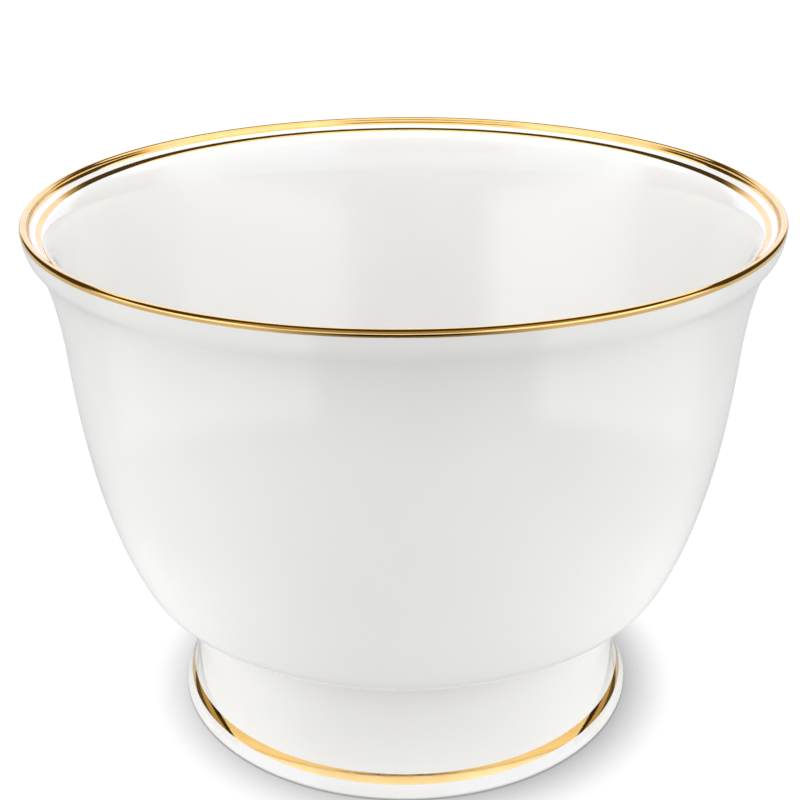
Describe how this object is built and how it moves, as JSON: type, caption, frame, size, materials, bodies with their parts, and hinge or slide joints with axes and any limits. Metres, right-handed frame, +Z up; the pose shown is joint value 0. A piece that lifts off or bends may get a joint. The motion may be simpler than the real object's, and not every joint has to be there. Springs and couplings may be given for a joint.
{
  "type": "footed serving bowl",
  "caption": "Deep round porcelain serving bowl with a flared lip on a hollow flared foot, trimmed with gold round the rim and the foot.",
  "frame": {"origin": "centre of the flat ring that the foot stands on, on the table plane", "axes": "+Z up along the axis of the bowl, from the foot to the rim"},
  "size_m": [0.216, 0.216, 0.1575],
  "materials": {
    "glazed_porcelain": "glossy clear glaze over warm white china, bare on the ring it stands on",
    "burnished_gold": "polished overglaze gold"
  },
  "bodies": {
    "root": {"bowl_body": "glazed_porcelain", "pedestal_foot": "glazed_porcelain", "slip_joint": "glazed_porcelain", "rim_gold_band": "burnished_gold", "inner_gold_line": "burnished_gold", "foot_gold_band": "burnished_gold"}
  },
  "joints": []
}
